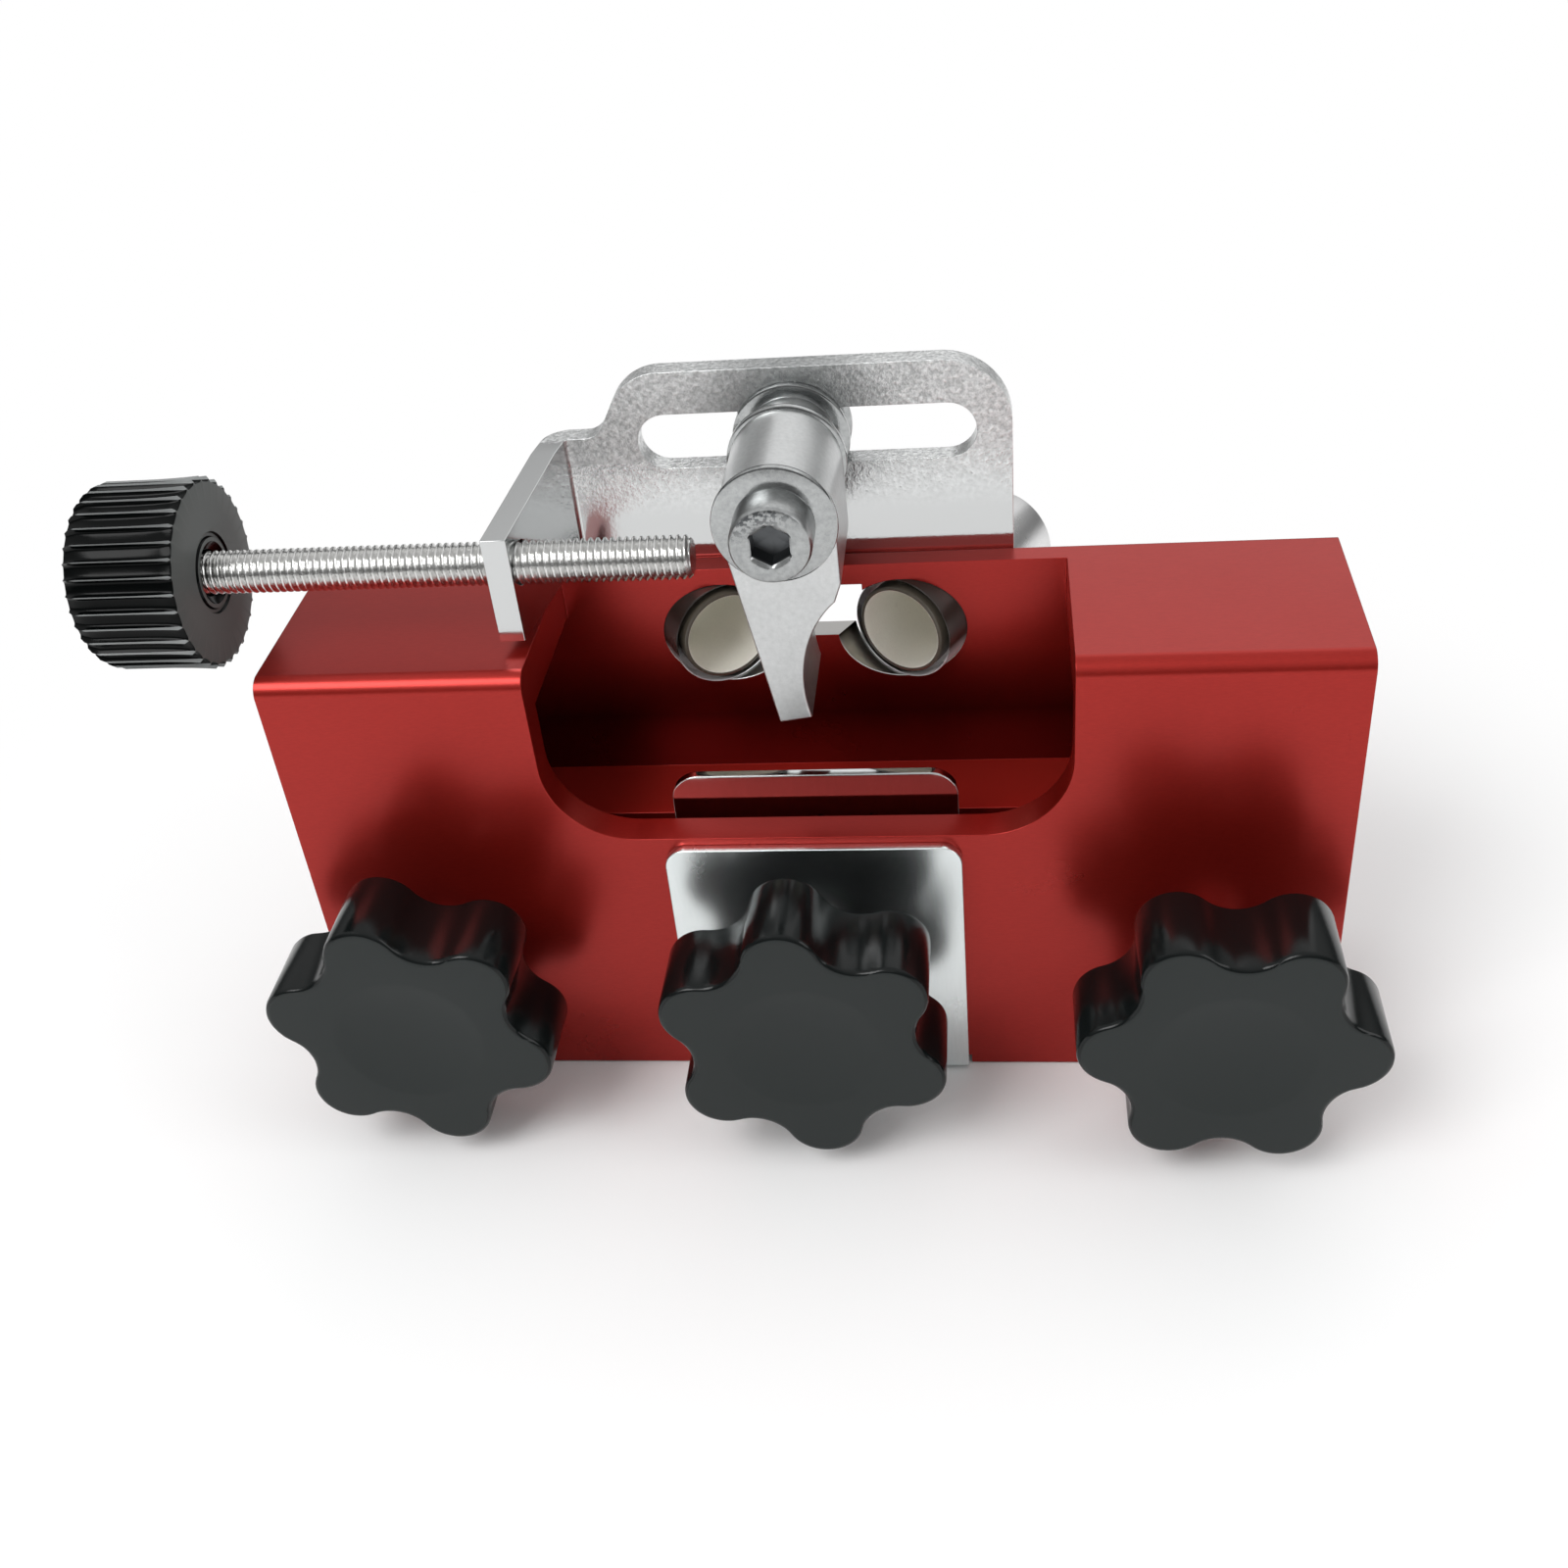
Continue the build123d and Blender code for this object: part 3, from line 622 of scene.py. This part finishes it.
def starReach(phase, inset=0.0):
    # The angle starts at +Z and turns towards +X, and the phase is counted from +X towards +Z.
    def reach(angle):
        turn = (math.pi / 2 - angle - phase) % (math.pi / 3)
        if turn > math.pi / 6:
            turn -= math.pi / 3
        turn = abs(turn)
        if turn < touchAngle:
            aside = lobeCentre * math.sin(turn)
            far = lobeCentre * math.cos(turn) + math.sqrt(starShape["lobe"] ** 2 - aside ** 2)
        else:
            rest = math.pi / 6 - turn
            aside = valleyCentre * math.sin(rest)
            far = valleyCentre * math.cos(rest) - math.sqrt(valleyRadius ** 2 - aside ** 2)
        return far - inset
    return reach


for word, place in starPlaces.items():
    phase = math.radians(place["phase"])
    thick = starShape["thickness"]
    bossEnd = thick + starShape["bossLength"]
    rings = [(starShape["dish"] * (1 - (r / starShape["dishRadius"]) ** 2), r)
             for r in (0.4, 2.0, 4.0, 6.0, 8.0, 9.5, 10.6)]
    rings.append((0.0, 11.3))
    rings += [(0.0, starReach(phase, 1.1)), (0.0, starReach(phase, 0.85)), (0.10, starReach(phase, 0.45)),
              (0.35, starReach(phase, 0.14)), (0.75, starReach(phase, 0.0))]
    rings += [(thick * 0.5, starReach(phase, 0.0)), (thick - 0.7, starReach(phase, 0.0)),
              (thick - 0.25, starReach(phase, 0.12)), (thick, starReach(phase, 0.6)),
              (thick, 9.0), (thick, starShape["boss"]), (bossEnd - 0.3, starShape["boss"]),
              (bossEnd, starShape["boss"] - 0.3), (bossEnd, studThread["radius"])]
    knobPlace = (place["x"], place["front"], starShape["z"])
    star = turned("starKnob" + word.capitalize(), knobPlace, (0, 1, 0), rings, 288)
    smooth(star, 30)
    finishPiece(star, plastics["starPlastic"], place["body"], "black_plastic", "star_knob_" + word)
    studStart = place["front"] + thick - studThread["inKnob"]
    stud = threadedRod(
        "clampStud" + word.capitalize(), (place["x"], studStart, starShape["z"]), (0, 1, 0),
        place["tip"] - studStart, studThread["radius"], studThread["pitch"], studThread["depth"],
    )
    smooth(stud, 40)
    finishPiece(stud, metals["zincScrew"], place["body"], "zinc_fastener", "clamp_stud_" + word)
print("star knobs ready")


stack = {"x": -1.2, "z": 90.9, "webFront": 16.1, "webBack": 19.6, "gap": 0.05, "washer": 8.3,
         "washerThick": 1.2, "bolt": 3.0, "head": 5.4, "headLength": 5.6, "socket": 2.5, "spacer": 6.6,
         "spacerLength": 5.7, "pawlHub": 16.9, "nut": 5.0}
rearWasherY = stack["webFront"] - stack["gap"] - stack["washerThick"]
ringWasherY = rearWasherY - stack["spacerLength"] - stack["washerThick"]
pawlBackY = ringWasherY - 2 * stack["gap"]
frontWasherY = pawlBackY - stack["pawlHub"] - 2 * stack["gap"] - stack["washerThick"]
headFront = frontWasherY - stack["headLength"]
backWasherY = stack["webBack"] + stack["gap"]
nutY = backWasherY + stack["washerThick"]
axisPoint = (stack["x"], 0, stack["z"])

# The bolt's hexagon socket is painted dark as shade in its recess, and a spanner has left specks on the head's
# upper rim.
boltShadeAndMarks = {"colour": (0.10, 0.105, 0.11, 1), "socketRadius": 2.93, "speckSize": 1500.0,
             "speckSide": (-0.3, 0, 0.954), "speckLow": 88.5, "speckHigh": 91.5}
tree, shader, plain = basePaint(metals["boltSteel"])
socketShadeMask = joinMasks(
    tree, "MULTIPLY", roundAxis(tree, axisPoint, (0, 1, 0), boltShadeAndMarks["socketRadius"], (-900, 600)),
    pastLevel(tree, (0, 1, 0), headFront + 0.15, headFront + 0.95, (-900, 800)), (-650, 700),
)
speckGrain = useGroup(tree, grainGroup, (-900, 1000), Size=boltShadeAndMarks["speckSize"], Contrast=12.0)
speckMask = joinMasks(
    tree, "MULTIPLY", pastLevel(tree, (0, -1, 0), -headFront - 0.25, -headFront - 0.05, (-900, 1200)),
    pastLevel(tree, boltShadeAndMarks["speckSide"], boltShadeAndMarks["speckLow"], boltShadeAndMarks["speckHigh"], (-900, 1400)),
    (-650, 1200),
)
speckMask = joinMasks(tree, "MULTIPLY", speckMask, speckGrain.outputs["Mask"], (-500, 1100))
shadeAndMarkMask = joinMasks(tree, "MAXIMUM", socketShadeMask, speckMask, (-400, 800))
tree.links.new(layTint(tree, plain, shadeAndMarkMask, boltShadeAndMarks["colour"], (-200, 400)), shader.inputs["Base Color"])


def discRings(start, thick, outer, inner, edge=0.32):
    end, shy = start + thick, edge * 0.3
    return [(start, inner + 0.1), (start, outer - edge), (start + shy, outer - shy), (start + edge, outer),
            (end - edge, outer), (end - shy, outer - shy), (end, outer - edge), (end, inner + 0.1),
            (end - 0.1, inner), (start + 0.1, inner)]


washerPieces = []
for count, start in enumerate((frontWasherY, ringWasherY, rearWasherY, backWasherY)):
    washerPieces.append(turned(
        "washer%d" % count, axisPoint, (0, 1, 0),
        discRings(start, stack["washerThick"], stack["washer"], stack["bolt"] + 0.05), 96, loop=True,
    ))
washers = joinPieces("stackWashers", washerPieces)
smooth(washers, 35)
finishPiece(washers, metals["washerSteel"], "carriage", "zinc_fastener", "pawl_washers")

spacer = turned(
    "stackSpacer", axisPoint, (0, 1, 0),
    discRings(ringWasherY + stack["washerThick"], stack["spacerLength"], stack["spacer"],
              stack["bolt"] + 0.05, 0.35), 96, loop=True,
)
smooth(spacer, 35)
finishPiece(spacer, metals["satinSteel"], "carriage", "zinc_fastener", "pawl_spacer")

nutRings = [
    (nutY, 3.1), (nutY, 4.9), (nutY + 0.45, hexReach(stack["nut"], 5.55)),
    (nutY + 0.75, hexReach(stack["nut"], 5.9)), (nutY + 4.25, hexReach(stack["nut"], 5.9)),
    (nutY + 4.55, hexReach(stack["nut"], 5.55)), (nutY + 5.0, 4.9),
    (nutY + 5.0, 3.5), (nutY + 4.6, 3.02), (nutY + 0.4, 3.02),
]
nut = turned("stackNut", axisPoint, (0, 1, 0), nutRings, 144, loop=True)
smooth(nut, 24)
finishPiece(nut, metals["zincScrew"], "carriage", "zinc_fastener", "pawl_nut")

head = stack["head"]
boltRings = [
    (headFront + 3.3, 0.3), (headFront + 3.0, hexReach(stack["socket"] - 0.05)),
    (headFront + 0.35, hexReach(stack["socket"])), (headFront + 0.05, 3.05), (headFront, 3.3),
    (headFront, head - 0.65), (headFront + 0.12, head - 0.3), (headFront + 0.45, head - 0.07),
    (headFront + 0.8, head), (frontWasherY - 0.25, head), (frontWasherY, head - 0.2),
    (frontWasherY, stack["bolt"]), (nutY + 4.9, stack["bolt"]),
]
boltHead = turned("boltHead", axisPoint, (0, 1, 0), boltRings, 96)
boltEnd = threadedRod(
    "boltEnd", (stack["x"], nutY + 4.6, stack["z"]), (0, 1, 0), 1.6, stack["bolt"], 1.0, 0.6, taper=0.5,
)
bolt = joinPieces("pawlBolt", [boltHead, boltEnd])
smooth(bolt, 32)
finishPiece(bolt, metals["boltSteel"], "carriage", "zinc_fastener", "pawl_bolt")
print("pawl stack ready")


# Two colours here are painted shade: one for the tops of the guide holes and tube mouths, one for the bushes'
# rims.
guide = {"spacing": 26.2, "mouthY": 12.1, "z": 61.5, "angle": 30.0, "tube": 8.15, "tubeBore": 7.0,
         "bush": 6.25, "length": 31.0, "lip": 0.5, "topShadeLow": 58.0, "topShadeHigh": 60.5,
         "topShade": (0.030, 0.022, 0.018, 1), "rimShade": (0.10, 0.085, 0.065, 1)}
guideLean = math.radians(guide["angle"])


def guidePlace(side):
    # The middle of a guide's mouth and the way that its tube runs.
    mouth = (side * guide["spacing"] / 2, guide["mouthY"], guide["z"])
    return mouth, (side * math.sin(guideLean), math.cos(guideLean), 0)


def guideBores(tree, radius, place):
    # 1 inside a radius round either guide's axis.
    left, right = (roundAxis(tree, *guidePlace(side), radius, (place[0], place[1] + side * 120))
                   for side in (-1, 1))
    return joinMasks(tree, "MAXIMUM", left, right, (place[0] + 250, place[1]))


# Painted shade darkens the tube mouths inside the channel on top.
tree, shader, plain = basePaint(metals["bareAluminium"])
mouthInside = pastLevel(tree, (0, -1, 0), -guide["mouthY"] - 0.6, -guide["mouthY"], (-1100, 700))
mouthShadeBand = pastLevel(tree, (0, 0, 1), guide["topShadeLow"], guide["topShadeHigh"], (-1100, 900))
mouthShadeMask = joinMasks(tree, "MULTIPLY", mouthInside, mouthShadeBand, (-850, 800))
tree.links.new(layTint(tree, plain, mouthShadeMask, guide["topShade"], (-200, 400)), shader.inputs["Base Color"])
tree.links.new(spreadMask(tree, mouthInside, 1.0, 0.15, (-450, 800)), shader.inputs["Metallic"])

# The bushes' cut rims are painted dark as shade, their bores beige.
tree, shader, plain = basePaint(metals["bushMetal"])
boreInside = guideBores(tree, guide["bush"] + 0.17, (-1100, 500))
rimShadeColour = layTint(tree, plain, boreInside, guide["rimShade"], (-200, 400), "Dark")
tree.links.new(rimShadeColour, shader.inputs["Base Color"])

for side, word in ((-1, "left"), (1, "right")):
    mouth, way = guidePlace(side)
    tubeRings = [
        (2.4, guide["tubeBore"]), (2.4, guide["tube"] - 0.32), (0.1, guide["tube"] - 0.22),
        (0.0, guide["tube"] - 0.14), (0.08, guide["tube"] - 0.04), (0.25, guide["tube"]),
        (guide["length"] - 0.4, guide["tube"]), (guide["length"] - 0.12, guide["tube"] - 0.12),
        (guide["length"], guide["tube"] - 0.4), (guide["length"], guide["tubeBore"]),
    ]
    tube = turned("guideTube" + word.capitalize(), mouth, way, tubeRings, 120, loop=True)
    smooth(tube, 35)
    finishPiece(tube, metals["bareAluminium"], "frame", "bare_aluminium", "guide_tube_" + word)
    lip = -guide["lip"]
    bushRings = [
        (lip + 0.3, guide["bush"]), (lip + 0.08, guide["bush"] + 0.08), (lip, guide["bush"] + 0.25),
        (lip, guide["tubeBore"] - 0.25), (lip + 0.1, guide["tubeBore"] - 0.06),
        (lip + 0.3, guide["tubeBore"]), (guide["length"], guide["tubeBore"]), (guide["length"], guide["bush"]),
    ]
    bush = turned("guideBush" + word.capitalize(), mouth, way, bushRings, 120, loop=True)
    smooth(bush, 35)
    finishPiece(bush, metals["bushMetal"], "frame", "bush_metal", "guide_bush_" + word)
print("guide tubes ready")


# The red body's settings hold painted shade for the low inner back wall and painted light for the ledges that
# look up.
redSetup = {
    "dark": (0.32, 0.012, 0.008, 1), "light": (0.38, 0.017, 0.011, 1),
    "bare": (0.72, 0.72, 0.71, 1), "slot": (0.36, 0.35, 0.34, 1), "bareEdge": guide["tube"] + 0.12,
    "wallShade": (0.070, 0.003, 0.002, 1), "wallY": 11.8, "wallFull": 47.0, "wallNone": 58.0,
    "ledgeLight": (0.66, 0.036, 0.024, 1), "ledgeZ": 37.9,
    "metallic": 0.72, "coat": 0.20, "coatRough": 0.22,
}
joiningSlot = {"left": -6.55, "right": 7.55, "bottom": 60.65, "top": 69.15, "front": 12.15}

# Anodised red, cut through to bare metal in the guide holes and the slot that joins them.
redAnodised, tree, shader = newMaterial("redAnodised")
shader.inputs["Coat Weight"].default_value = redSetup["coat"]
shader.inputs["Coat Roughness"].default_value = redSetup["coatRough"]
grain = useGroup(tree, grainGroup, (-1100, -300), Size=5200.0, Height=0.015, Stretch=(0.2, 1, 1),
                 Contrast=2.0)
smudge = useGroup(tree, smudgeGroup, (-1100, 0), Size=35.0, Low=0.27, High=0.33)
tint = useGroup(tree, tintGroup, (-800, 250), Dark=redSetup["dark"], Light=redSetup["light"])
tree.links.new(grain.outputs["Mask"], tint.inputs["Mask"])
boresMask = guideBores(tree, redSetup["bareEdge"], (-1400, 500))
slotSides = (
    ((-1, 0, 0), -joiningSlot["right"]), ((1, 0, 0), joiningSlot["left"]), ((0, 0, 1), joiningSlot["bottom"]),
    ((0, 0, -1), -joiningSlot["top"]), ((0, 1, 0), joiningSlot["front"]),
)
slotMask = None
for count, (direction, level) in enumerate(slotSides):
    sideMask = pastLevel(tree, direction, level - 0.01, level + 0.01, (-1400, 900 + 200 * count))
    if slotMask is None:
        slotMask = sideMask
    else:
        slotMask = joinMasks(tree, "MULTIPLY", slotMask, sideMask, (-1200 + 40 * count, 900))
bareMask = joinMasks(tree, "MAXIMUM", boresMask, slotMask, (-950, 600))

# Painted shade darkens the upper half of the bare guide holes.
topShadeBand = pastLevel(tree, (0, 0, 1), guide["topShadeLow"], guide["topShadeHigh"], (-1400, 1900))
topShadeMask = joinMasks(tree, "MULTIPLY", boresMask, topShadeBand, (-1150, 1800))
slotTint = useGroup(tree, tintGroup, (-1100, 2000), Dark=redSetup["bare"], Light=redSetup["slot"])
tree.links.new(slotMask, slotTint.inputs["Mask"])
bareColour = layTint(tree, slotTint.outputs["Colour"], topShadeMask, guide["topShade"], (-900, 1800))

# Painted shade darkens the red low on the inner back wall, and painted light brightens the ledges that look
# up.
innerWall = useGroup(tree, facingGroup, (-1400, -500), Direction=(0, -1, 0)).outputs["Mask"]
innerPast = pastLevel(tree, (0, 1, 0), redSetup["wallY"] - 0.1, redSetup["wallY"] + 0.1, (-1400, -700))
innerLow = pastLevel(tree, (0, 0, -1), -redSetup["wallNone"], -redSetup["wallFull"], (-1400, -900))
wallShadeMask = joinMasks(tree, "MULTIPLY", innerWall, innerPast, (-1150, -600))
wallShadeMask = joinMasks(tree, "MULTIPLY", wallShadeMask, innerLow, (-1000, -600))
ledgeUp = useGroup(tree, facingGroup, (-1400, -1100), Direction=(0, 0, 1)).outputs["Mask"]
ledgeLow = pastLevel(tree, (0, 0, -1), -redSetup["ledgeZ"] - 0.1, -redSetup["ledgeZ"] + 0.1, (-1400, -1300))
litLedgeMask = joinMasks(tree, "MULTIPLY", ledgeUp, ledgeLow, (-1150, -1200))
redPaintedShadeAndLight = layTint(tree, tint.outputs["Colour"], wallShadeMask, redSetup["wallShade"], (-700, 450))
redPaintedShadeAndLight = layTint(tree, redPaintedShadeAndLight, litLedgeMask, redSetup["ledgeLight"], (-620, 550))

bareTint = useGroup(tree, tintGroup, (-550, 350))
tree.links.new(bareMask, bareTint.inputs["Mask"])
tree.links.new(redPaintedShadeAndLight, bareTint.inputs["Dark"])
tree.links.new(bareColour, bareTint.inputs["Light"])
tree.links.new(spreadMask(tree, bareMask, redSetup["metallic"], 1.0, (-550, 100)), shader.inputs["Metallic"])
tree.links.new(bareTint.outputs["Colour"], shader.inputs["Base Color"])
tree.links.new(smudge.outputs["Value"], shader.inputs["Roughness"])
tree.links.new(grain.outputs["Normal"], shader.inputs["Normal"])

# The darkest zinc colour here is painted shade round the washer stack.
zincSetup = {
    "dark": (0.48, 0.49, 0.49, 1), "light": (0.94, 0.95, 0.95, 1), "paintedLight": (0.20, 0.21, 0.21, 1),
    "sandyLow": 79.0, "sandyHigh": 92.0, "webLow": 15.0, "webHigh": 15.8, "smoothTint": 0.22,
    "stackShadeRadius": 8.2, "stackShadeShare": 0.75, "smoothRough": 0.09, "sandyRough": 0.36, "smoothGrain": 0.03,
    "bump": 0.40,
}

# Bracket: sandy zinc on the upper web, smooth and mirror-bright below and on the flange.
bracketZinc, tree, shader = newMaterial("bracketZinc")
shader.inputs["Metallic"].default_value = 1.0
grain = useGroup(tree, grainGroup, (-1100, -250), Size=1700.0, Contrast=3.0).outputs["Mask"]
upperMask = pastLevel(tree, (0, 0, 1), zincSetup["sandyLow"], zincSetup["sandyHigh"], (-1300, 250))
webMask = pastLevel(tree, (0, 1, 0), zincSetup["webLow"], zincSetup["webHigh"], (-1300, 50))
sandy = joinMasks(tree, "MULTIPLY", upperMask, webMask, (-1100, 200))
sandyMask = addNode(tree, "ShaderNodeMix", (-850, 100))
sandyMask.inputs[2].default_value = zincSetup["smoothTint"]
tint = useGroup(tree, tintGroup, (-600, 250), Dark=zincSetup["dark"], Light=zincSetup["light"])
tree.links.new(sandy, sandyMask.inputs[0])
tree.links.new(grain, sandyMask.inputs[3])
tree.links.new(sandyMask.outputs[0], tint.inputs["Mask"])
# Painted shade darkens the zinc round the washers.
stackShadeFalloff = roundAxis(tree, axisPoint, (0, 1, 0), zincSetup["stackShadeRadius"], (-1100, 600), "Soft")
stackShadeMask = joinMasks(tree, "MULTIPLY", stackShadeFalloff, sandy, (-850, 550))
stackShadeMask = joinMasks(tree, "MULTIPLY", stackShadeMask, zincSetup["stackShadeShare"], (-700, 550))
stackShadeColour = layTint(tree, tint.outputs["Colour"], stackShadeMask, zincSetup["paintedLight"], (-300, 400))
tree.links.new(stackShadeColour, shader.inputs["Base Color"])
rough = spreadMask(tree, sandy, zincSetup["smoothRough"], zincSetup["sandyRough"], (-600, 0))
tree.links.new(rough, shader.inputs["Roughness"])
# The grain's height fades out with the sandy band.
grainShare = spreadMask(tree, sandy, zincSetup["smoothGrain"], 1.0, (-850, -150))
evenGrain = joinMasks(tree, "SUBTRACT", grain, 0.5, (-850, -350))
softBump = addNode(tree, "ShaderNodeBump", (-400, -250), Distance=0.0002, Strength=zincSetup["bump"])
tree.links.new(joinMasks(tree, "MULTIPLY", evenGrain, grainShare, (-600, -250)), softBump.inputs["Height"])
tree.links.new(softBump.outputs["Normal"], shader.inputs["Normal"])
print("body and bracket finishes ready")


keptPieces = {
    "body_channel": {"material": redAnodised, "edge": 0.25},
    "pawl_bracket": {"material": bracketZinc, "edge": 0.28},
    "front_plate": {"material": metals["polishedPlate"], "edge": 0.18},
    "chain_plate": {"material": metals["mirrorPlate"], "edge": 0.18},
    "pawl": {"material": metals["satinSteel"], "edge": 0.30},
    "bracket_screws": {"material": metals["zincScrew"], "edge": 0.12},
    "clamp_pad_left": {"material": metals["zincScrew"], "edge": 0.15},
    "clamp_pad_right": {"material": metals["zincScrew"], "edge": 0.15},
}
edgeSetup = {"weld": 0.01, "flat": 0.5, "segments": 2, "sharp": 30, "weight": 100}
for name, values in keptPieces.items():
    piece = nodes[name]
    piece.data.materials.clear()
    piece.data.materials.append(values["material"])
    bpy.context.view_layer.objects.active = piece
    bpy.ops.mesh.customdata_custom_splitnormals_clear()
    piece.data.polygons.foreach_set("use_smooth", [True] * len(piece.data.polygons))
    weld = piece.modifiers.new("weld", "WELD")
    weld.merge_threshold = edgeSetup["weld"] * mm
    flatten = piece.modifiers.new("oneFacePerPlane", "DECIMATE")
    flatten.decimate_type = "DISSOLVE"
    flatten.angle_limit = math.radians(edgeSetup["flat"])
    edge = piece.modifiers.new("softEdge", "BEVEL")
    edge.width = values["edge"] * mm
    edge.segments = edgeSetup["segments"]
    edge.limit_method = "ANGLE"
    edge.angle_limit = math.radians(edgeSetup["sharp"])
    evenNormals = piece.modifiers.new("evenNormals", "WEIGHTED_NORMAL")
    evenNormals.weight = edgeSetup["weight"]
    evenNormals.keep_sharp = True
print("CAD pieces dressed")
